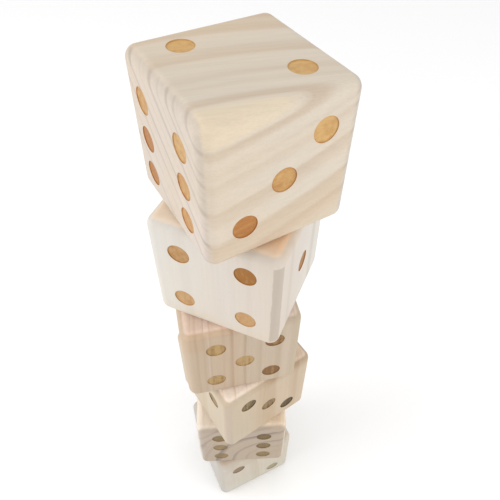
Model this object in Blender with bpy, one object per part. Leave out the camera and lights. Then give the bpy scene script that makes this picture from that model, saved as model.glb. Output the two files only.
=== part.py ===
"""Giant yard dice: six loose softwood blocks standing on each other in a tower.

Each block is a cube with rounded edges and twenty-one shallow round pips. Opposite faces add up
to seven, and the one, two and three run anticlockwise around their shared corner.

Units are metres and +Z is up. The origin is the middle of the tower's foot. A block's own origin
is the middle of its underside, on the vertical axis that it turns about on the block below.
"""
import math
import random
from dataclasses import dataclass, field

import bmesh
import bpy
from mathutils import Matrix, Vector

# Driving dimensions.
SIDE = 0.0889  # the 3 1/2 inch block
EDGE_RADIUS = 0.007  # round-over of every edge and corner
EDGE_SEGMENTS = 4
STACK_GAP = 0.0003  # between one block and the next
PIP_RADIUS = 0.0073
PIP_DEPTH = 0.0005
PIP_SIDES = 16
PIP_REACH = SIDE / 4  # how far the outer pips lie from a face's middle, along each side
SIX_PITCH = 0.0235  # between neighbours in a column of three

# Pips are stamped a face at a time, so a face's pattern slips and turns as one piece.
STRAY_SLIP = 0.0008
STRAY_TURN = 1.0  # degrees

WOOD_ROUGHNESS = 0.6
SHARP_ANGLE = math.radians(30)

# Each face's outward normal, and the direction that is up on it, in the block's own axes.
FACES = {
    "right": (Vector((1, 0, 0)), Vector((0, 0, 1))),
    "left": (Vector((0, -1, 0)), Vector((0, 0, 1))),
    "top": (Vector((0, 0, 1)), Vector((0, 1, 0))),
    "back_left": (Vector((-1, 0, 0)), Vector((0, 0, 1))),
    "back_right": (Vector((0, 1, 0)), Vector((0, 0, 1))),
    "bottom": (Vector((0, 0, -1)), Vector((0, -1, 0))),
}
OPPOSITE = {"back_left": "right", "back_right": "left", "bottom": "top"}


@dataclass
class Block:
    """One die: where it stands, which way its right face points, and what it shows."""

    name: str
    foot: tuple  # x and y of its middle
    heading: float  # degrees from +X to its right face's normal
    shows: dict  # the values of its top, right and left faces
    colour: tuple
    falling: tuple = ()  # faces whose diagonal of two or three falls to the right
    stamped: dict = field(default_factory=dict)  # known slips: x, y in metres, turn in degrees

    def value(self, face):
        if face in OPPOSITE:
            return 7 - self.shows[OPPOSITE[face]]
        return self.shows[face]

    def stamp(self, face):
        """The slip and turn of one face's pattern, small and seeded where it isn't known."""
        if face in self.stamped:
            x, y, turn = self.stamped[face]
        else:
            chance = random.Random(f"{self.name} {face}")
            x = chance.uniform(-STRAY_SLIP, STRAY_SLIP)
            y = chance.uniform(-STRAY_SLIP, STRAY_SLIP)
            turn = chance.uniform(-STRAY_TURN, STRAY_TURN)
        return Matrix.Translation((x, y, 0)) @ Matrix.Rotation(math.radians(turn), 4, "Z")


# The tower from the ground up.
BLOCKS = (
    Block(
        "bottom_die",
        foot=(0.0, 0.0),
        heading=-62.5,
        shows={"top": 3, "right": 2, "left": 1},
        colour=(0.61, 0.53, 0.42),
        falling=("right",),
        stamped={"right": (-0.0005, -0.0015, 0)},
    ),
    Block(
        "second_die",
        foot=(0.001, -0.0045),
        heading=-85.5,
        shows={"top": 2, "right": 6, "left": 4},
        colour=(0.55, 0.43, 0.33),
        stamped={"right": (0, -0.001, 0)},
    ),
    Block(
        "third_die",
        foot=(0.0035, -0.007),
        heading=-54,
        shows={"top": 1, "right": 3, "left": 2},
        colour=(0.68, 0.52, 0.37),
        falling=("right",),
        stamped={"right": (-0.0005, 0.0005, -1)},
    ),
    Block(
        "fourth_die",
        foot=(-0.004, -0.007),
        heading=-75.5,
        shows={"top": 1, "right": 5, "left": 3},
        colour=(0.68, 0.5, 0.37),
        stamped={"right": (0.001, -0.001, -2)},
    ),
    Block(
        "fifth_die",
        foot=(0.004, -0.009),
        heading=-21,
        shows={"top": 5, "right": 1, "left": 4},
        colour=(0.81, 0.74, 0.64),
        stamped={"left": (0, 0.0005, 0)},
    ),
    Block(
        "top_die",
        foot=(0.0045, -0.013),
        heading=-57.5,
        shows={"top": 2, "right": 3, "left": 6},
        colour=(0.76, 0.65, 0.5),
        stamped={"top": (-0.002, 0.0015, -3.5), "right": (0, 0.001, -1), "left": (-0.001, -0.0015, -1)},
    ),
)


def clear_scene():
    for obj in list(bpy.data.objects):
        bpy.data.objects.remove(obj)


def pip_places(value, falling):
    """The middles of a face's pips, from the face's own middle."""
    if value == 6:
        return [(x, y) for x in (-PIP_REACH, PIP_REACH) for y in (-SIX_PITCH, 0, SIX_PITCH)]
    rising_pair = [(-PIP_REACH, -PIP_REACH), (PIP_REACH, PIP_REACH)]
    falling_pair = [(-PIP_REACH, PIP_REACH), (PIP_REACH, -PIP_REACH)]
    places = [(0, 0)] if value % 2 else []
    if value in (2, 3):
        places += falling_pair if falling else rising_pair
    if value in (4, 5):
        places += rising_pair + falling_pair
    return places


def face_frame(face):
    """Turns a face's own right, up and outward axes into the block's, from the block's middle."""
    normal, up = FACES[face]
    axes = Matrix((up.cross(normal), up, normal)).transposed()
    return Matrix.Translation((0, 0, SIDE / 2)) @ axes.to_4x4() @ Matrix.Translation((0, 0, SIDE / 2))


def wood(name, colour):
    material = bpy.data.materials.new(name)
    material.use_nodes = True
    shader = material.node_tree.nodes["Principled BSDF"]
    shader.inputs["Base Color"].default_value = (*colour, 1)
    shader.inputs["Roughness"].default_value = WOOD_ROUGHNESS
    shader.inputs["Metallic"].default_value = 0
    return material


def add_object(name, form):
    mesh = bpy.data.meshes.new(name)
    form.to_mesh(mesh)
    form.free()
    obj = bpy.data.objects.new(name, mesh)
    bpy.context.scene.collection.objects.link(obj)
    return obj


def rounded_block(name):
    """The plain cube, rounded all over, standing on its origin."""
    form = bmesh.new()
    bmesh.ops.create_cube(form, size=SIDE, matrix=Matrix.Translation((0, 0, SIDE / 2)))
    bmesh.ops.bevel(
        form,
        geom=form.edges[:],
        offset=EDGE_RADIUS,
        offset_type="OFFSET",
        segments=EDGE_SEGMENTS,
        profile=0.5,
        affect="EDGES",
        clamp_overlap=True,
    )
    obj = add_object(name, form)
    obj.data.shade_smooth()
    obj.data.set_sharp_from_angle(angle=SHARP_ANGLE)
    return obj


def pip_cutter(block):
    """A short drum over every pip, half of it inside the block."""
    form = bmesh.new()
    for face in FACES:
        places = pip_places(block.value(face), face in block.falling)
        stamp = face_frame(face) @ block.stamp(face)
        for x, y in places:
            bmesh.ops.create_cone(
                form,
                cap_ends=True,
                segments=PIP_SIDES,
                radius1=PIP_RADIUS,
                radius2=PIP_RADIUS,
                depth=2 * PIP_DEPTH,
                matrix=stamp @ Matrix.Translation((x, y, 0)),
            )
    cutter = add_object(f"{block.name}_pip_cutter", form)
    cutter.hide_render = True
    cutter.display_type = "WIRE"
    return cutter


def make_die(block, height, below):
    """One die at its place in the tower, held by the die below it."""
    die = rounded_block(block.name)
    die.data.materials.append(wood(f"{block.name}_pine", block.colour))

    cutter = pip_cutter(block)
    cutter.parent = die
    cut = die.modifiers.new("pips", "BOOLEAN")
    cut.operation = "DIFFERENCE"
    cut.solver = "EXACT"
    cut.object = cutter

    die.location = (*block.foot, height)
    die.rotation_euler = (0, 0, math.radians(block.heading))
    if below is not None:
        die.parent = below
        die.matrix_parent_inverse = below.matrix_world.inverted()
    bpy.context.view_layer.update()
    return die


clear_scene()
below = None
for level, block in enumerate(BLOCKS):
    below = make_die(block, level * (SIDE + STACK_GAP), below)
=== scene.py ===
"""Looks for the giant yard dice: six sanded pine blocks with stained pips, on a plain pale floor.

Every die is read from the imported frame: its middle, its heading, the width of its flats and where
its pips are. A finer skin with a true round-over and soft-edged pips then takes the place of the
CAD node, with a pine material of its own. Lengths are metres, and wood is laid out in millimetres.
"""
import math
import random
from dataclasses import dataclass, field

import bmesh
import bpy
from mathutils import Matrix, Vector
from mathutils.geometry import delaunay_2d_cdt


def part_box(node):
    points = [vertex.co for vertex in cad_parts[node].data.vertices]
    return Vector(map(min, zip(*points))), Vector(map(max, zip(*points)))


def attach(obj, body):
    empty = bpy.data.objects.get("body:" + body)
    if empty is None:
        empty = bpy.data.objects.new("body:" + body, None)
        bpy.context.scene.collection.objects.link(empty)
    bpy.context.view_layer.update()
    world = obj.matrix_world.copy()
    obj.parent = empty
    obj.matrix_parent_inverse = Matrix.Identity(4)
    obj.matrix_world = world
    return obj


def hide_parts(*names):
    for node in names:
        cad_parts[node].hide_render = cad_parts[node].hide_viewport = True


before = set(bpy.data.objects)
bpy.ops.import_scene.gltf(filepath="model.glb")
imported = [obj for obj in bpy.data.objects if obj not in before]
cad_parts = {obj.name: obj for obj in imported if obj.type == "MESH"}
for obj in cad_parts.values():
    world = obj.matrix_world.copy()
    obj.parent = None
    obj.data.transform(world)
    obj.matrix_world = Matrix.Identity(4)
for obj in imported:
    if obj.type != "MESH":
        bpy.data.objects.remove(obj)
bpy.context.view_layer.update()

MM = 0.001

# How fine the skin is.
ROUND_STEPS = 6  # from the middle of an edge to the flat beside it
FLAT_CELLS = 14  # along one side of a flat
PIP_SIDES = 48
COLLAR_SIDES = 24  # of the outer collar
RIM_ROUND = 0.22 * MM  # softened edge of a pip
FLOOR_ROUND = 0.2 * MM
ARC_STEPS = 3  # in the section of a pip's rim, and of its floor's edge
INNER_RINGS = (0.93, 0.8, 0.55, 0.28)  # rings of points on a pip's floor, as shares of its radius
COLLAR = 0.8 * MM  # first ring of points around a pip
OUTER_COLLAR = 2.8 * MM  # and the second
HOLE = 0.98 * COLLAR  # no triangle of a flat has its middle nearer to a pip than this
CLEAR_OF_PIP = 4.5 * MM  # no plain grid point lies nearer to a pip than this
WELD = 0.001 * MM
HULL_TRIANGLES = 0  # delaunay_2d_cdt's way of filling everything inside the outermost points
CDT_MARGIN = 1e-9

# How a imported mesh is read.
UPRIGHT = 0.01  # the most that the normal of a side leans
SQUARE_ON = 0.9999  # how well a flat's normal agrees with its face's
FLUSH = 0.1 * MM  # a flat lies within this of its face, and a pip's floor lies deeper

# Each face's outward normal, and the direction that is up on it, in the die's own axes.
FACES = {
    "right": (Vector((1, 0, 0)), Vector((0, 0, 1))),
    "left": (Vector((0, -1, 0)), Vector((0, 0, 1))),
    "top": (Vector((0, 0, 1)), Vector((0, 1, 0))),
    "back_left": (Vector((-1, 0, 0)), Vector((0, 0, 1))),
    "back_right": (Vector((0, 1, 0)), Vector((0, 0, 1))),
    "bottom": (Vector((0, 0, -1)), Vector((0, -1, 0))),
}


def face_axes(face):
    """Turns a face's own right, up and outward axes into the die's."""
    normal, up = FACES[face]
    return Matrix((up.cross(normal), up, normal)).transposed()


# ---------------------------------------------------------------- reading the frame


@dataclass
class Die:
    """What the frame says about one die."""

    name: str
    centre: Vector
    heading: float  # radians from +X to its right face's normal
    half: float  # half its side
    flat: float  # half the side of a flat, inside the round-over
    pip_radius: float
    pip_depth: float
    pips: dict  # face: [(x, y), ...] on the face, from its middle

    @property
    def place(self):
        """From the die's own axes, about its middle, to the row frame."""
        return Matrix.Translation(self.centre) @ Matrix.Rotation(self.heading, 4, "Z")


def read_heading(mesh):
    """The right face's heading, from the normals of all the sides.

    The sides repeat every quarter turn, so the normals are summed at four times their angle.
    """
    total = Vector((0, 0))
    for polygon in mesh.polygons:
        if abs(polygon.normal.z) < UPRIGHT:
            angle = 4 * math.atan2(polygon.normal.y, polygon.normal.x)
            total += polygon.area * Vector((math.cos(angle), math.sin(angle)))
    quarter = math.pi / 2
    return math.atan2(total.y, total.x) / 4 % quarter - quarter


def read_face(mesh, to_face, half):
    """One face: its flat's reach, the corners of the pip floors' polygons, and how deep they lie."""
    reach = 0
    floors = []
    depth = 0
    for polygon in mesh.polygons:
        if (to_face.to_3x3() @ polygon.normal).z < SQUARE_ON:
            continue
        corners = [to_face @ mesh.vertices[i].co for i in polygon.vertices]
        if corners[0].z > half - FLUSH:
            reach = max([reach] + [abs(c.x) for c in corners])
        else:
            floors.append([c.xy for c in corners])
            depth = half - corners[0].z
    return reach, floors, depth


def gather_pips(floors):
    """Each pip's middle and radius on its face, from the floor triangles that share corners."""
    groups = []
    for corners in floors:
        touching = [g for g in groups if any((a - b).length < WELD for a in corners for b in g)]
        groups = [g for g in groups if all(g is not t for t in touching)]
        groups.append(corners + [c for g in touching for c in g])
    pips = []
    for group in groups:
        xs = [p.x for p in group]
        ys = [p.y for p in group]
        pips.append(((min(xs) + max(xs)) / 2, (min(ys) + max(ys)) / 2, (max(xs) - min(xs)) / 2))
    return sorted(pips)


def read_die(name):
    """One die, from its node's mesh and box."""
    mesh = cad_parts[name].data
    low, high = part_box(name)
    heading = read_heading(mesh)
    centre = (low + high) / 2
    half = (high.z - low.z) / 2
    own = (Matrix.Translation(centre) @ Matrix.Rotation(heading, 4, "Z")).inverted()
    pips = {}
    for face in FACES:
        to_face = face_axes(face).to_4x4().inverted() @ own
        flat, floors, depth = read_face(mesh, to_face, half)
        found = gather_pips(floors)
        pips[face] = [(x, y) for x, y, radius in found]
        pip_radius = max(radius for x, y, radius in found)
    return Die(name, centre, heading, half, flat, pip_radius, depth, pips)


# ---------------------------------------------------------------- the fine skin


def grid_lines(die):
    """Across a face: where a line's round-over is centred, and the tangent of its lean."""
    steps = [math.radians(45) * k / ROUND_STEPS for k in range(ROUND_STEPS, -1, -1)]
    low = [(-die.flat, -math.tan(a)) for a in steps]
    middle = [(die.flat * (2 * k / FLAT_CELLS - 1), 0.0) for k in range(1, FLAT_CELLS)]
    high = [(die.flat, math.tan(a)) for a in reversed(steps)]
    return low + middle + high


def pip_profile(die):
    """A pip's section from its collar to near its middle: radius, depth, lean towards the middle."""
    radius = die.pip_radius
    floor = die.pip_depth
    right_angle = math.radians(90)
    rim = []
    fillet = []
    for k in range(ARC_STEPS + 1):
        turn = right_angle * k / ARC_STEPS
        outwards = 1 - math.sin(turn)
        downwards = 1 - math.cos(turn)
        rim.append((radius + RIM_ROUND * outwards, RIM_ROUND * downwards, turn))
        fillet.append(
            (radius - FLOOR_ROUND * downwards, floor - FLOOR_ROUND * outwards, right_angle - turn)
        )
    inner = [(radius * share, floor, 0) for share in INNER_RINGS]
    return [(radius + COLLAR, 0, 0)] + rim + fillet + inner


def circle(middle, radius, sides):
    """Points around a place on a face."""
    turns = [2 * math.pi * k / sides for k in range(sides)]
    return [Vector((middle[0] + radius * math.cos(t), middle[1] + radius * math.sin(t))) for t in turns]


class Skin:
    """A die's surface while it is made, in the die's own axes. Each point keeps its exact normal."""

    def __init__(self, die):
        self.die = die
        self.form = bmesh.new()
        self.smooth = self.form.verts.layers.float_vector.new("smooth_normal")
        self.reach = self.form.verts.layers.float.new("pip_reach")
        self.stain = self.form.verts.layers.float.new("pip_stain")
        self.tone = self.form.verts.layers.float.new("pip_tone")

    def point(self, axes, co, normal, reach=0.0, stain=0.0, tone=0.0):
        """One point, given along a face's own axes."""
        vertex = self.form.verts.new(axes @ Vector(co))
        vertex[self.smooth] = (axes @ Vector(normal)).normalized()
        vertex[self.reach] = reach
        vertex[self.stain] = stain
        vertex[self.tone] = tone
        return vertex

    def round_over(self, axes):
        """The rounded border of one face, up to halfway around each edge."""
        die = self.die
        lines = grid_lines(die)
        radius = die.half - die.flat
        rows = []
        for y, lean_y in lines:
            row = []
            for x, lean_x in lines:
                normal = Vector((lean_x, lean_y, 1)).normalized()
                row.append(self.point(axes, Vector((x, y, die.flat)) + radius * normal, normal))
            rows.append(row)
        last = len(lines) - 1
        flat = range(ROUND_STEPS, last - ROUND_STEPS)
        for j in range(last):
            for i in range(last):
                if not (i in flat and j in flat):
                    self.form.faces.new((rows[j][i], rows[j][i + 1], rows[j + 1][i + 1], rows[j + 1][i]))

    def flat_points(self, pips):
        """The plain grid of a flat, with room left around the pips."""
        steps = [self.die.flat * (2 * k / FLAT_CELLS - 1) for k in range(FLAT_CELLS + 1)]
        clear = self.die.pip_radius + CLEAR_OF_PIP
        points = [Vector((x, y)) for x in steps for y in steps]
        return [p for p in points if all((p - Vector(c)).length > clear for c in pips)]

    def flat_face(self, axes, pips):
        """One flat, filled with triangles around its pips."""
        die = self.die
        points = self.flat_points(pips)
        edges = []
        for pip in pips:
            for radius, sides in (
                (die.pip_radius + COLLAR, PIP_SIDES),
                (die.pip_radius + OUTER_COLLAR, COLLAR_SIDES),
            ):
                first = len(points)
                points += circle(pip, radius, sides)
                edges += [(first + k, first + (k + 1) % sides) for k in range(sides)]
        places, _, triangles, *_ = delaunay_2d_cdt(points, edges, [], HULL_TRIANGLES, CDT_MARGIN)
        made = [self.point(axes, (*p, die.half), (0, 0, 1)) for p in places]
        for triangle in triangles:
            middle = sum((places[i] for i in triangle), Vector((0, 0))) / 3
            if all((middle - Vector(c)).length > die.pip_radius + HOLE for c in pips):
                self.form.faces.new([made[i] for i in triangle])

    def pip(self, axes, middle, tone):
        """One sunken pip, from its collar to its middle."""
        die = self.die
        stain_edge = die.pip_radius + RIM_ROUND / 2
        rings = []
        for radius, depth, lean in pip_profile(die):
            ring = []
            reach = radius / die.pip_radius
            stained = 1.0 if radius <= stain_edge else 0.0
            inward = math.sin(lean)
            for k, spot in enumerate(circle(middle, radius, PIP_SIDES)):
                turn = 2 * math.pi * k / PIP_SIDES
                normal = (-inward * math.cos(turn), -inward * math.sin(turn), math.cos(lean))
                place = (*spot, die.half - depth)
                ring.append(self.point(axes, place, normal, reach, stained, tone))
            rings.append(ring)
        for outer, inner in zip(rings, rings[1:]):
            for k in range(PIP_SIDES):
                after = (k + 1) % PIP_SIDES
                self.form.faces.new((outer[k], outer[after], inner[after], inner[k]))
        centre = self.point(axes, (*middle, die.half - die.pip_depth), (0, 0, 1), 0.0, 1.0, tone)
        for k in range(PIP_SIDES):
            self.form.faces.new((rings[-1][k], rings[-1][(k + 1) % PIP_SIDES], centre))

    def finish(self, name):
        """The skin as a mesh at the die's place in the row frame."""
        bmesh.ops.remove_doubles(self.form, verts=self.form.verts[:], dist=WELD)
        bmesh.ops.transform(self.form, matrix=self.die.place, verts=self.form.verts[:])
        mesh = bpy.data.meshes.new(name)
        self.form.to_mesh(mesh)
        self.form.free()
        return mesh


HIDDEN_TONES = 0.8  # how far from the middle tone a pip on an unseen face may come out


def tone_of(look, face, index):
    """How dark one pip came out, from -1 to 1: known on the faces that show, seeded on the rest."""
    known = look.pip_tones.get(face)
    if known:
        return known[index]
    return random.Random(f"{look.name} {face} {index}").uniform(-HIDDEN_TONES, HIDDEN_TONES)


def add_end_grain(mesh, die, look):
    """Where the wood's fibres end at the surface, as a share from 0 to 1."""
    turn = Matrix.Rotation(die.heading, 3, "Z")
    fibre = turn @ Vector(look.fibre).normalized()
    shares = mesh.attributes.new("end_grain", "FLOAT", "POINT")
    normals = mesh.attributes["smooth_normal"].data
    for share, normal in zip(shares.data, normals):
        share.value = abs((turn @ Vector(normal.vector)).dot(fibre))


def make_skin(die, look):
    """A die's whole skin, with exact normals and what its material needs to know."""
    skin = Skin(die)
    for face in FACES:
        axes = face_axes(face)
        skin.round_over(axes)
        skin.flat_face(axes, die.pips[face])
        for index, middle in enumerate(die.pips[face]):
            skin.pip(axes, middle, tone_of(look, face, index))
    mesh = skin.finish(f"{die.name}_wood")
    add_end_grain(mesh, die, look)
    turn = Matrix.Rotation(die.heading, 3, "Z")
    normals = [turn @ Vector(n.vector) for n in mesh.attributes["smooth_normal"].data]
    mesh.shade_smooth()
    mesh.normals_split_custom_set_from_vertices(normals)
    mesh.attributes.remove(mesh.attributes["smooth_normal"])
    return mesh


# ---------------------------------------------------------------- pine


@dataclass
class Mark:
    """A box, in mm from the die's middle along its own axes, where the colour changes: most are the wood's
    own tone, some are painted light or shade.
    """

    middle: tuple
    half: tuple  # from its middle to its sides
    tint: tuple  # what it leaves of the colour
    soft: float = 1.0  # mm each way over which its edges fade


@dataclass
class Look:
    """One block's wood. Directions are in the die's own axes: right, back right and up."""

    name: str
    fibre: tuple  # along the grain
    growth: tuple  # across the growth rings, away from the pith
    pith: float  # mm from the die's middle to the pith, against the growth direction
    light: tuple  # earlywood, linear colour
    band: tuple  # what latewood leaves of it
    bands: tuple  # growth rings that show: (mm along growth, strength, soft side, sharp side)
    zones: tuple = ()  # slow changes of colour: (mm along growth, what is left of it)
    fine_spacing: float = 5.0  # mm between the faint rings
    fine_strength: float = 0.25
    sway: float = 2.5  # mm that the rings wander
    bow: float = 0.0  # how the rings bend along the fibre, per mm
    fan: float = 0.0  # how they spread apart along it, per mm
    streaks: float = 1.0  # how strongly the fibres show
    end_tint_and_painted_light: tuple = (0.96, 0.93, 0.95)  # what end grain leaves of the colour; above 1 it is also painted light, which lifts an end-grain top out of shade
    end_span: tuple = (0.75, 0.96)  # from how square to the fibres end grain begins to show
    end_band: tuple = ()  # what latewood leaves of the colour there, where it is not as elsewhere
    end_late: float = 0.6  # how much of the rings' contrast end grain keeps
    end_thin: float = 2.0  # and how much narrower they are on it
    end_bands: tuple = ()  # or the rings that show on it, where they are known
    end_fine: float = 0.3  # how strong the faint rings are on it
    end_plain: float = 0.0  # how far end grain loses the slow changes of colour
    marks: tuple = ()  # local changes of tone, some of them painted light or shade
    pip_light: tuple = (0.87, 0.63, 0.38)  # what the palest stain leaves of the wood's colour
    pip_dark: tuple = (0.66, 0.42, 0.22)  # and the darkest
    pip_tones: dict = field(default_factory=dict)  # face: how dark each pip is, from -1 to 1
    pip_streaks: float = 0.1  # how unevenly the stain takes from fibre to fibre


# Noises in the wood: how squeezed they are along the fibres, then scale per mm, detail, roughness.
PATCHES = (0.3, 0.03, 2.0, 0.5)
STREAKS = (0.02, 2.4, 3.0, 0.6)
BROAD_STREAKS = (0.03, 0.45, 2.0, 0.5)
DASHES = (0.045, 1.5, 1.0, 0.5)
STAIN_CLOUDS = (1.0, 0.28, 2.0, 0.5)
STAIN_FIBRES = (0.08, 0.42, 2.0, 0.5)
WANDER_DETAIL = 1.5

# Parts of a noise's range, most of which lies close to 0.5.
MOST = (0.3, 0.7)
CORE = (0.35, 0.65)
HIGHEST = (0.7, 0.82)

# Tones.
PLAIN = (1.0, 1.0, 1.0)  # leaves a colour as it is
PATCH_TINTS = ((1.0, 0.985, 0.96), (0.985, 0.99, 1.0))  # warmer and cooler parts of a block
PATCH_FADING = (0.7, 1.1)  # how strong the rings are from one part of a block to another
STREAK_SHADES = (-0.04, 0.03)  # darker and lighter fibres, as shares of the colour
BROAD_STREAK_SHADES = (-0.02, 0.02)
DASH_SHADE = 0.12  # how much darker the short dashes are

# Growth rings.
BAND_SPAN = 90.0  # mm each way from the die's middle that the ring tables cover
SWAY_SQUEEZE = 0.4  # how much slower the rings wander along the fibres
SWAY_SCALE = 0.022
SPACING_SCALE = 0.6  # how soon the spacing of the faint rings changes
SPACING_CHANGE = 1.8  # and by how many rings
FAINTEST = 0.2  # of the faint rings, beside the strongest at 1
DARKENING = (0.35, 0.88)  # where a faint ring darkens, as shares of its width
ENDING = (0.9, 1.0)  # and where it ends
END_SHARPENING = 3.0  # the power that narrows the faint rings on end grain
STAINED_RINGS = 0.5  # how much of the rings' contrast shows through the stain

# Marks and pips.
MARK_WOBBLE = 0.7  # mm that a mark's outline wanders
MARK_SCALE = 0.12
CLOUD_STAIN = 0.18  # how far the stain's tone drifts inside a pip
RIM_SPAN = (0.88, 1.0)  # where the stain pools, as shares of a pip's radius
RIM_STAIN = 0.25

# The surface.
ROUGHNESS = (0.5, 0.62)
LATE_SMOOTHING = -0.05  # latewood is a little less rough
SPECULAR = 0.35
LATE_RELIEF = 0.6  # how far latewood and streaks stand up, as shares of the bump
STREAK_RELIEF = 0.8
BUMP_STRENGTH = 0.6
BUMP_HEIGHT = 0.06 * MM


class Wiring:
    """Short ways to add nodes to one material. The functions below take it as w."""

    def __init__(self, material):
        self.tree = material.node_tree

    def node(self, kind, *values, **settings):
        """A node with its first inputs filled, each from a link or a plain value."""
        made = self.tree.nodes.new(kind)
        for key, value in settings.items():
            setattr(made, key, value)
        for socket, value in zip(made.inputs, values):
            self.fill(socket, value)
        return made

    def fill(self, socket, value):
        """Sets an input, from a link or a plain value."""
        if isinstance(value, bpy.types.NodeSocket):
            self.tree.links.new(value, socket)
        elif value is not None:
            socket.default_value = value

    def math(self, operation, *values, clamp=False):
        return self.node("ShaderNodeMath", *values, operation=operation, use_clamp=clamp).outputs[0]

    def vector(self, operation, *values):
        return self.node("ShaderNodeVectorMath", *values, operation=operation).outputs[0]

    def noise(self, place, scale, detail, roughness):
        made = self.node("ShaderNodeTexNoise")
        self.fill(made.inputs["Vector"], place)
        made.inputs["Scale"].default_value = scale
        made.inputs["Detail"].default_value = detail
        made.inputs["Roughness"].default_value = roughness
        return made

    def wood_noise(self, space, squeeze, scale, detail, roughness):
        """Noise drawn out along the fibres, which run along Z in the wood's own axes."""
        drawn = self.vector("MULTIPLY", space, (1, 1, squeeze))
        return self.noise(drawn, scale, detail, roughness).outputs[0]

    def wander(self, place, scale, width):
        """A slow random shift, up to half the width each way."""
        shift = self.noise(place, scale, WANDER_DETAIL, 0.5).outputs["Color"]
        shift = self.vector("SUBTRACT", shift, (0.5, 0.5, 0.5))
        return self.vector("MULTIPLY", shift, (width,) * 3)

    def place_along(self, axes, centre):
        """Where the surface is, in millimetres from a die's middle along the rows of axes."""
        mapping = self.node("ShaderNodeMapping", vector_type="POINT")
        self.fill(mapping.inputs["Vector"], self.node("ShaderNodeTexCoord").outputs["Object"])
        mapping.inputs["Scale"].default_value = (1 / MM, 1 / MM, 1 / MM)
        mapping.inputs["Rotation"].default_value = axes.to_euler("XYZ")
        mapping.inputs["Location"].default_value = axes @ (-centre / MM)
        return mapping.outputs[0]

    def span(self, value, low, high, to_low=0.0, to_high=1.0):
        """value carried smoothly from one span to another, and held at its ends."""
        made = self.node("ShaderNodeMapRange", interpolation_type="SMOOTHSTEP")
        for socket, number in zip(made.inputs, (value, low, high, to_low, to_high)):
            self.fill(socket, number)
        return made.outputs[0]

    def mix(self, factor, a, b, blend="MIX"):
        """Colour a, with that share of it mixed with or multiplied by b."""
        made = self.node("ShaderNodeMix", data_type="RGBA", blend_type=blend)
        self.fill(made.inputs[0], factor)
        self.fill(made.inputs[6], (*a, 1) if isinstance(a, tuple) else a)
        self.fill(made.inputs[7], (*b, 1) if isinstance(b, tuple) else b)
        return made.outputs[2]

    def attribute(self, name):
        return self.node("ShaderNodeAttribute", attribute_name=name).outputs["Fac"]


def grain_space(w, die, look):
    """Millimetres in the wood's own axes: X across the rings, Z along the fibres."""
    turn = Matrix.Rotation(die.heading, 3, "Z")
    along = (turn @ Vector(look.fibre)).normalized()
    across = turn @ Vector(look.growth)
    across = (across - across.dot(along) * along).normalized()
    return w.place_along(Matrix((across, along.cross(across), along)), die.centre)


def add_marks(w, die, look, colour):
    """Lays each mark over the colour, with an outline that wanders a little; some marks are painted light
    or shade.
    """
    own = w.place_along(Matrix.Rotation(-die.heading, 3, "Z"), die.centre)
    spot = w.vector("ADD", own, w.wander(own, MARK_SCALE, 2 * MARK_WOBBLE))
    for mark in look.marks:
        away = w.vector("ABSOLUTE", w.vector("SUBTRACT", spot, mark.middle))
        x, y, z = w.node("ShaderNodeSeparateXYZ", w.vector("SUBTRACT", away, mark.half)).outputs
        outside = w.math("MAXIMUM", w.math("MAXIMUM", x, y), z)
        share = w.span(outside, -mark.soft, mark.soft, 1.0, 0.0)
        colour = w.mix(share, colour, mark.tint, "MULTIPLY")
    return colour


def ring_depth(w, space, look):
    """Millimetres out from the die's middle across the rings, with their curve and their sway."""
    slow = w.vector("MULTIPLY", space, (1, 1, SWAY_SQUEEZE))
    swayed = w.vector("ADD", space, w.wander(slow, SWAY_SCALE, 4 * look.sway))
    from_pith = w.vector("ADD", swayed, (look.pith, 0, 0))
    across = w.vector("MULTIPLY", from_pith, (1, 1, 0))
    length = w.node("ShaderNodeVectorMath", across, operation="LENGTH").outputs["Value"]
    along = w.node("ShaderNodeSeparateXYZ", swayed).outputs[2]
    level = w.math("SUBTRACT", length, look.pith)
    lean = w.math("MULTIPLY", along, look.bow)
    lean = w.math("MULTIPLY_ADD", level, look.fan, lean)
    return w.math("SUBTRACT", level, w.math("MULTIPLY", along, lean))


def depth_ramp(w, depth, stops):
    """A colour for each ring depth, eased from one stop to the next."""
    ramp = w.node("ShaderNodeValToRGB")
    w.fill(ramp.inputs[0], w.math("MULTIPLY_ADD", depth, 0.5 / BAND_SPAN, 0.5))
    ramp.color_ramp.interpolation = "EASE"
    made = ramp.color_ramp.elements
    made.remove(made[1])
    made[0].position = 0
    made[0].color = (*stops[0][1], 1)
    for place, colour in stops:
        stop = made.new(0.5 + 0.5 * place / BAND_SPAN)
        stop.color = (*colour, 1)
    return ramp.outputs[0]


def band_table(w, depth, bands):
    """Each growth ring that shows, darkening softly on one side and ending sharply on the other."""
    stops = []
    for place, strength, soft, sharp in bands:
        for at, value in ((place - soft, 0), (place, strength), (place + sharp, 0)):
            stops.append((at, (value, value, value)))
    return depth_ramp(w, depth, stops)


def fine_rings(w, depth, look):
    """The faint rings between: a slow darkening and a quick end, of uneven width and strength."""
    uneven = w.node("ShaderNodeTexNoise", noise_dimensions="1D")
    w.fill(uneven.inputs["W"], w.math("MULTIPLY", depth, SPACING_SCALE / look.fine_spacing))
    uneven.inputs["Scale"].default_value = 1.0
    shift = w.math("MULTIPLY", uneven.outputs[0], SPACING_CHANGE)
    rings = w.math("ADD", w.math("DIVIDE", depth, look.fine_spacing), shift)
    share = w.math("FRACT", rings)
    chance = w.node("ShaderNodeTexWhiteNoise", noise_dimensions="1D")
    w.fill(chance.inputs["W"], w.math("FLOOR", rings))
    strength = w.math("MULTIPLY_ADD", chance.outputs["Value"], 1 - FAINTEST, FAINTEST)
    rise = w.span(share, *DARKENING)
    fall = w.span(share, *ENDING, 1.0, 0.0)
    return w.math("MULTIPLY", w.math("MULTIPLY", rise, fall), strength)


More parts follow.
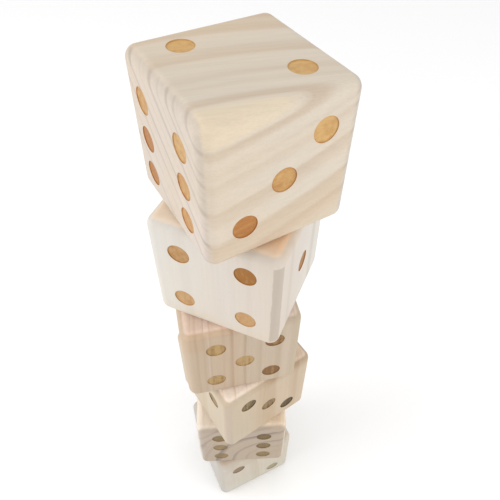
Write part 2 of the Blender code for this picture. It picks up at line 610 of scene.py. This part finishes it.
def late_wood(w, look, depth, end, patches):
    """How much latewood shows: the known rings and the faint ones, narrower on end grain."""
    fading = w.span(patches, *MOST, *PATCH_FADING)
    broad = w.math("MULTIPLY", band_table(w, depth, look.bands), fading)
    fine = fine_rings(w, depth, look)
    on_sides = w.math("MULTIPLY_ADD", fine, look.fine_strength, broad)
    on_sides = w.math("MULTIPLY", on_sides, w.math("SUBTRACT", 1.0, end))
    if look.end_bands:
        narrow = w.math("MULTIPLY", band_table(w, depth, look.end_bands), fading)
    else:
        narrow = w.math("POWER", broad, look.end_thin)
    on_ends = w.math("MULTIPLY", w.math("POWER", fine, END_SHARPENING), look.end_fine)
    on_ends = w.math("MULTIPLY_ADD", narrow, look.end_late, on_ends)
    late = w.math("MULTIPLY_ADD", on_ends, end, on_sides, clamp=True)
    shown = w.span(w.attribute("pip_stain"), 0.0, 1.0, 1.0, STAINED_RINGS)
    return w.math("MULTIPLY", late, shown)


def ring_colour(w, look, depth, end, late, patches):
    """The wood's colour from its rings, its broad patches and its end grain, whose tint on some blocks
    also paints light onto their tops.
    """
    zone = depth_ramp(w, depth, look.zones)
    zone = w.mix(w.math("MULTIPLY", end, look.end_plain), zone, PLAIN)
    colour = w.mix(1.0, look.light, zone, "MULTIPLY")
    band = w.mix(end, look.band, look.end_band or look.band)
    colour = w.mix(late, colour, band, "MULTIPLY")
    patch = w.mix(w.span(patches, *CORE), *PATCH_TINTS)
    colour = w.mix(1.0, colour, patch, "MULTIPLY")
    return w.mix(end, colour, look.end_tint_and_painted_light, "MULTIPLY")


def fibre_shade(w, look, space, streaks):
    """Fine streaks along the grain, which end as specks where the grain meets the surface."""
    broad = w.wood_noise(space, *BROAD_STREAKS)
    dashes = w.wood_noise(space, *DASHES)
    shade = w.span(streaks, *MOST, *STREAK_SHADES)
    shade = w.math("ADD", shade, w.span(broad, *MOST, *BROAD_STREAK_SHADES))
    shade = w.math("SUBTRACT", shade, w.span(dashes, *HIGHEST, 0.0, DASH_SHADE))
    shade = w.math("MULTIPLY_ADD", shade, look.streaks, 1.0)
    return w.node("ShaderNodeCombineXYZ", shade, shade, shade).outputs[0]


def pip_stain(w, look, space):
    """What the stain leaves of the colour: it pools a little at the rim and takes unevenly."""
    tone = w.math("MULTIPLY_ADD", w.attribute("pip_tone"), 0.5, 0.5)
    clouds = w.span(w.wood_noise(space, *STAIN_CLOUDS), *MOST, -CLOUD_STAIN, CLOUD_STAIN)
    fibres = w.wood_noise(space, *STAIN_FIBRES)
    fibres = w.span(fibres, *CORE, -look.pip_streaks, look.pip_streaks)
    rim = w.span(w.attribute("pip_reach"), *RIM_SPAN, 0.0, RIM_STAIN)
    dark = w.math("ADD", w.math("ADD", tone, clouds), fibres)
    dark = w.math("ADD", dark, rim, clamp=True)
    return w.mix(dark, look.pip_light, look.pip_dark)


def pine(die, look):
    """One block's pine: growth rings, fibres, end grain, the stain in the pips, and marks, some of which
    are painted light or shade.
    """
    material = bpy.data.materials.new(f"{die.name}_pine")
    material.use_nodes = True
    shader = material.node_tree.nodes["Principled BSDF"]
    w = Wiring(material)

    space = grain_space(w, die, look)
    depth = ring_depth(w, space, look)
    end = w.span(w.attribute("end_grain"), *look.end_span)
    patches = w.wood_noise(space, *PATCHES)
    streaks = w.wood_noise(space, *STREAKS)
    late = late_wood(w, look, depth, end, patches)

    colour = ring_colour(w, look, depth, end, late, patches)
    colour = add_marks(w, die, look, colour)
    colour = w.mix(1.0, colour, fibre_shade(w, look, space, streaks), "MULTIPLY")
    colour = w.mix(w.attribute("pip_stain"), colour, pip_stain(w, look, space), "MULTIPLY")
    w.fill(shader.inputs["Base Color"], colour)

    rough = w.math("MULTIPLY_ADD", late, LATE_SMOOTHING, w.span(streaks, *MOST, *ROUGHNESS))
    w.fill(shader.inputs["Roughness"], rough)
    shader.inputs["Specular IOR Level"].default_value = SPECULAR
    bump = w.node("ShaderNodeBump")
    bump.inputs["Strength"].default_value = BUMP_STRENGTH
    bump.inputs["Distance"].default_value = BUMP_HEIGHT
    relief = w.math("MULTIPLY_ADD", late, LATE_RELIEF, w.math("MULTIPLY", streaks, STREAK_RELIEF))
    w.fill(bump.inputs["Height"], relief)
    w.fill(shader.inputs["Normal"], bump.outputs[0])
    return material


# ---------------------------------------------------------------- the six blocks

LOOKS = (
    Look(
        "top_die",
        fibre=(0.29, 0.93, 0.0),
        growth=(0.685, 0.065, 0.726),
        pith=5000,
        bow=0.0014,
        fan=-0.00083,
        light=(0.65, 0.565, 0.458),
        band=(0.87, 0.81, 0.75),
        bands=(
            (-38, 0.5, 9, 3),
            (-18, 0.5, 8, 3),
            (3, 0.5, 5, 3),
            (13.8, 0.45, 8, 2.5),
            (29.8, 0.9, 9, 2.6),
            (42.5, 0.5, 5, 3),
            (47.5, 0.3, 2.5, 2),
            (56, 1.0, 4, 1.6),
        ),
        zones=(
            (-60, (0.98, 0.95, 0.9)),
            (-8, (0.98, 0.95, 0.9)),
            (0, (0.96, 0.88, 0.8)),
            (11, (0.96, 0.9, 0.83)),
            (17, (1, 1, 1)),
            (57, (1, 1, 1)),
            (59.5, (1.09, 1.06, 0.98)),
        ),
        fine_strength=0.12,
        sway=0.6,
        end_tint_and_painted_light=(0.88, 0.875, 0.91),
        end_span=(0.28, 0.62),
        end_band=(0.79, 0.785, 0.785),
        end_bands=(
            (-20, 0.6, 3, 1),
            (-8, 0.4, 2, 0.8),
            (3, 0.8, 2.5, 0.8),
            (13.8, 0.9, 2.5, 0.8),
            (22, 0.45, 1.5, 0.6),
            (29.8, 1.0, 3, 0.8),
            (36, 0.4, 1.5, 0.6),
            (42.5, 0.9, 2, 0.8),
            (47.5, 0.7, 1.5, 0.6),
            (56, 0.8, 2, 0.8),
        ),
        end_late=1.35,
        end_fine=0.5,
        end_plain=0.85,
        marks=(
            Mark((43, -43, -5), (3.5, 3, 45), (0.94, 0.94, 0.94), 2.5),
            Mark((28, -44, -26), (14, 3, 18), (1.06, 1.07, 1.12), 8),
        ),
        pip_light=(0.94, 0.67, 0.31),
        pip_dark=(0.64, 0.305, 0.085),
        pip_tones={"right": (1, -0.2, -0.8), "top": (-0.8, -0.9), "left": (1, 1, -0.4, 0, -0.2, -0.7)},
    ),
    Look(
        "fifth_die",
        fibre=(0, 0.02, 1),
        growth=(0.707, -0.707, 0),
        pith=500,
        light=(0.625, 0.57, 0.512),
        band=(0.8, 0.76, 0.71),
        bands=((-30, 0.2, 8, 3), (20.5, 0.15, 6, 2.5), (49.8, 0.15, 3, 2)),
        zones=(
            (7, (1.02, 1.055, 1.065)),
            (24, (1.01, 1.02, 1.01)),
            (36, (0.99, 0.98, 0.97)),
            (47, (0.99, 0.965, 0.92)),
            (58, (0.99, 0.95, 0.9)),
        ),
        fine_strength=0.05,
        fine_spacing=7,
        sway=0.15,
        streaks=0.5,
        end_tint_and_painted_light=(1.28, 1.13, 0.98),
        marks=(
            Mark((43.2, -42.5, -0.5), (3.6, 3.6, 37.5), (0.8, 0.78, 0.76), 0.35),
            Mark((44, -24, -6), (2, 3, 50), (0.93, 0.925, 0.93), 3.5),
            Mark((44, 21, -6), (2, 3, 50), (0.85, 0.86, 0.88), 3.5),
            # Painted shade with warm reflected light from the top die, over the middle of this top.
            Mark((12, -2, 45), (29, 32, 3), (1.0, 0.82, 0.65), 8),
            Mark((0, -44, -37), (37, 2, 4), (1.0, 0.97, 0.91), 5),
            Mark((11.5, -44.4, 2), (1.6, 0.6, 0.2), (0.88, 0.86, 0.84), 0.35),
            Mark((4, -44.4, -9.7), (1.3, 0.6, 0.2), (0.9, 0.88, 0.86), 0.35),
        ),
        pip_light=(0.79, 0.52, 0.26),
        pip_dark=(0.49, 0.22, 0.03),
        pip_tones={"left": (-0.7, -0.2, -0.9, 1), "right": (0.9,)},
    ),
    Look(
        "fourth_die",
        fibre=(0, 0.01, 1),
        growth=(0, 1, 0),
        pith=400,
        light=(0.495, 0.395, 0.295),
        band=(0.76, 0.69, 0.62),
        bands=(
            (-31.5, 0.45, 3.5, 1),
            (-26.5, 0.35, 2, 1),
            (-21.7, 0.35, 2, 0.8),
            (-12.7, 0.25, 3, 1),
            (-6, 0.9, 4, 0.8),
            (4, 1.0, 3, 0.7),
            (16.3, 0.35, 5, 1),
            (31, 0.35, 6, 1.5),
        ),
        zones=(
            (-40, (1.06, 1.04, 1.02)),
            (-36, (0.99, 0.97, 0.93)),
            (-24.5, (0.98, 0.95, 0.92)),
            (-23.5, (1.05, 1.04, 1.05)),
            (-21, (1, 0.97, 0.92)),
            (-8, (1, 0.95, 0.92)),
            (8, (1, 1, 1)),
            (30, (0.99, 1, 1)),
            (36, (1.06, 1.08, 1.1)),
            (42, (0.97, 0.97, 0.93)),
        ),
        fine_strength=0.06,
        fine_spacing=3.2,
        sway=1.0,
        streaks=0.9,
        # The end grain comes out far paler than the sides: its own pinkish tone, and painted light that
        # lifts the top out of the shade of the die above.
        end_tint_and_painted_light=(1.46, 1.46, 1.68),
        end_late=1.1,
        end_thin=1.0,
        end_fine=0.9,
        marks=(
            Mark((38, -27.5, 44), (12, 1.2, 2), (1.07, 1.12, 1.13), 1.2),
            Mark((38, -17.5, 44), (12, 1.5, 2), (1.06, 1.09, 1.06), 1.2),
            Mark((44, -36, 32), (4, 7, 8), (1.0, 0.95, 0.9), 5),
            Mark((43, -15, 42.5), (3, 26, 2.5), (1.13, 1.07, 1.04), 1.5),
            Mark((43.5, 43.5, 0), (4, 3, 46), (0.95, 0.97, 0.91), 2),
        ),
        pip_light=(0.84, 0.71, 0.4),
        pip_dark=(0.42, 0.24, 0.08),
        pip_tones={"right": (-0.55, -0.75, -1, 1, 0.8)},
        pip_streaks=0.3,
    ),
    Look(
        "third_die",
        fibre=(0.03, 0, 1),
        growth=(0.35, 0.94, 0),
        pith=300,
        light=(0.545, 0.438, 0.323),
        band=(0.8, 0.71, 0.6),
        bands=((-40, 0.4, 10, 3), (23, 0.5, 26, 3), (45, 0.5, 10, 3)),
        zones=((-40, (1, 1, 1)), (-8, (0.96, 0.98, 0.98)), (12, (0.98, 0.95, 0.9)), (30, (1, 0.98, 0.94))),
        fine_strength=0.1,
        # The end grain comes out far paler than the sides: its own tone, and painted light that lifts the
        # top out of the shade of the die above.
        end_tint_and_painted_light=(1.62, 1.72, 2.0),
        end_bands=(
            (-38, 0.5, 1.5, 0.6),
            (-30, 0.9, 1.8, 0.6),
            (-23, 0.6, 1.2, 0.5),
            (-14, 0.9, 2, 0.6),
            (-4, 0.6, 1.5, 0.6),
            (8, 0.7, 2, 0.6),
            (20, 0.6, 2, 0.6),
            (33, 0.7, 2, 0.6),
        ),
        end_late=1.0,
        end_fine=0.9,
        marks=(
            # Painted shade on the top's far right corner, under the die above.
            Mark((38, 24, 43), (12, 24, 5), (0.79, 0.73, 0.67), 9),
            Mark((38, -31, 44), (8, 12, 2.5), (1.05, 1.06, 1.08), 3),
            Mark((43, -43, -4), (3.5, 3.5, 45), (0.94, 0.95, 1.0), 2),
            Mark((-3, -44.5, -4), (41, 2, 41), (1.0, 1.05, 1.08), 2.5),
            Mark((44, -22, -22), (2, 16, 20), (0.96, 0.99, 1.0), 8),
        ),
        pip_light=(0.54, 0.43, 0.25),
        pip_dark=(0.12, 0.085, 0.0),
        pip_tones={"right": (0.0, -0.55, 1), "left": (-0.7, -0.8)},
        pip_streaks=0.3,
    ),
    Look(
        "second_die",
        fibre=(1, 0.05, 0.05),
        growth=(0, -0.69, 0.72),
        pith=56.6,
        light=(0.66, 0.56, 0.44),
        band=(0.66, 0.58, 0.53),
        bands=(
            (-34, 0.3, 5, 2),
            (-20, 0.36, 5, 2),
            (-5.5, 0.51, 6, 2),
            (13.5, 0.54, 9, 3),
            (27, 0.26, 6, 2),
            (36.5, 0.45, 5, 2),
            (47, 0.32, 6, 2),
        ),
        zones=((-40, (0.98, 0.98, 0.96)), (20, (1, 1, 1)), (44, (1.03, 1.04, 1.08))),
        sway=3,
        fine_strength=0.2,
        end_tint_and_painted_light=(0.647, 0.609, 0.585),
        end_span=(0.45, 0.85),
        end_band=(0.56, 0.54, 0.6),
        end_late=3.2,
        marks=(
            # Painted light: the whole top made lighter than the sides, though the die above shades it.
            Mark((-3, 0, 45), (46, 46, 5), (1.14, 1.15, 1.16), 1.5),
            Mark((43, -43, 0), (4, 4, 46), (1.0, 1.05, 1.1), 3),
            Mark((40, 35, 44), (9, 11, 3), (1.18, 1.14, 1.06), 5),
        ),
        pip_light=(0.62, 0.525, 0.3),
        pip_dark=(0.36, 0.28, 0.12),
        pip_tones={"right": (-1, -0.8, 0, -0.4, 0.3, 1)},
    ),
    Look(
        "bottom_die",
        fibre=(0, 0, 1),
        growth=(0.6, 0.8, 0),
        pith=200,
        light=(0.56, 0.508, 0.43),
        band=(0.84, 0.79, 0.72),
        bands=((-40, 0.4, 9, 3), (-5, 0.35, 10, 3), (30, 0.5, 9, 3)),
        zones=((-20, (0.99, 1.0, 1.04)), (40, (1, 0.98, 0.94))),
        fine_strength=0.1,
        end_tint_and_painted_light=(1.0, 0.92, 0.88),
        marks=(
            Mark((0, -44, -5), (44, 3, 48), (0.87, 0.9, 0.95), 3.5),
            # Painted shadow of the die above, across the upper part of the right face.
            Mark((44, -8, 36), (4, 28, 10), (0.93, 0.88, 0.83), 7),
            Mark((44, 0, -30), (4, 44, 10), (1.0, 1.07, 1.12), 9),
        ),
        pip_light=(0.605, 0.565, 0.41),
        pip_dark=(0.38, 0.285, 0.185),
        pip_tones={"right": (0.6, -1)},
    ),
)

for look in LOOKS:
    die = read_die(look.name)
    piece = bpy.data.objects.new(f"{look.name}_wood", make_skin(die, look))
    bpy.context.scene.collection.objects.link(piece)
    piece.data.materials.append(pine(die, look))
    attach(piece, look.name)
    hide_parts(look.name)


# ---------------------------------------------------------------- floor, light and camera

CAMERA_PLACE = Vector((0.0177, -0.2421, 0.6503))
CAMERA_PITCH = math.radians(48.16)  # below level
CAMERA_ROLL = math.radians(1.81)
CAMERA_LENS = 35.66  # mm
CAMERA_SENSOR = 36  # mm wide
CAMERA_SHIFT = (-0.0217, 0.0068)
CLIP_START = 0.01

FLOOR_REACH = 10  # each way from the tower
FLOOR_GREY = 0.97
FLOOR_ROUGHNESS = 0.9
SKY_STRENGTH = 0.92
SOFTBOX_SIZE = 1.2
TOWER_MIDDLE = Vector((0, 0, 0.3))


def make_floor():
    """A wide pale floor, which is staging and not part of the dice."""
    form = bmesh.new()
    bmesh.ops.create_grid(form, x_segments=1, y_segments=1, size=FLOOR_REACH)
    mesh = bpy.data.meshes.new("floor")
    form.to_mesh(mesh)
    form.free()
    floor = bpy.data.objects.new("floor", mesh)
    bpy.context.scene.collection.objects.link(floor)
    material = bpy.data.materials.new("pale_floor")
    material.use_nodes = True
    shader = material.node_tree.nodes["Principled BSDF"]
    shader.inputs["Base Color"].default_value = (FLOOR_GREY, FLOOR_GREY, FLOOR_GREY, 1)
    shader.inputs["Roughness"].default_value = FLOOR_ROUGHNESS
    mesh.materials.append(material)


def make_softbox(name, place, power):
    """A square light that faces the tower."""
    light = bpy.data.lights.new(name, "AREA")
    light.shape = "SQUARE"
    light.size = SOFTBOX_SIZE
    light.energy = power
    lamp = bpy.data.objects.new(name, light)
    lamp.location = place
    lamp.rotation_euler = (TOWER_MIDDLE - Vector(place)).to_track_quat("-Z", "Y").to_euler()
    bpy.context.scene.collection.objects.link(lamp)


def make_sky():
    """Even white light from all around."""
    world = bpy.data.worlds.new("studio")
    world.use_nodes = True
    sky = world.node_tree.nodes["Background"]
    sky.inputs["Color"].default_value = (1, 1, 1, 1)
    sky.inputs["Strength"].default_value = SKY_STRENGTH
    bpy.context.scene.world = world


def make_camera():
    """A camera that looks along +Y and down, rolled a little about its own axis."""
    ahead = Vector((0, math.cos(CAMERA_PITCH), -math.sin(CAMERA_PITCH)))
    level = Vector((1, 0, 0))
    above = level.cross(ahead)
    right = math.cos(CAMERA_ROLL) * level + math.sin(CAMERA_ROLL) * above
    up = math.cos(CAMERA_ROLL) * above - math.sin(CAMERA_ROLL) * level
    lens = bpy.data.cameras.new("camera")
    lens.sensor_width = CAMERA_SENSOR
    lens.lens = CAMERA_LENS
    lens.shift_x, lens.shift_y = CAMERA_SHIFT
    lens.clip_start = CLIP_START
    camera = bpy.data.objects.new("camera", lens)
    turn = Matrix((right, up, -ahead)).transposed()
    camera.matrix_world = Matrix.Translation(CAMERA_PLACE) @ turn.to_4x4()
    bpy.context.scene.collection.objects.link(camera)
    bpy.context.scene.camera = camera


make_floor()
make_sky()
make_softbox("key", (-1.6, -0.5, 1.0), power=13)
make_softbox("fill", (1.6, -0.7, 0.8), power=8)
make_camera()
bpy.context.scene.view_settings.view_transform = "Standard"
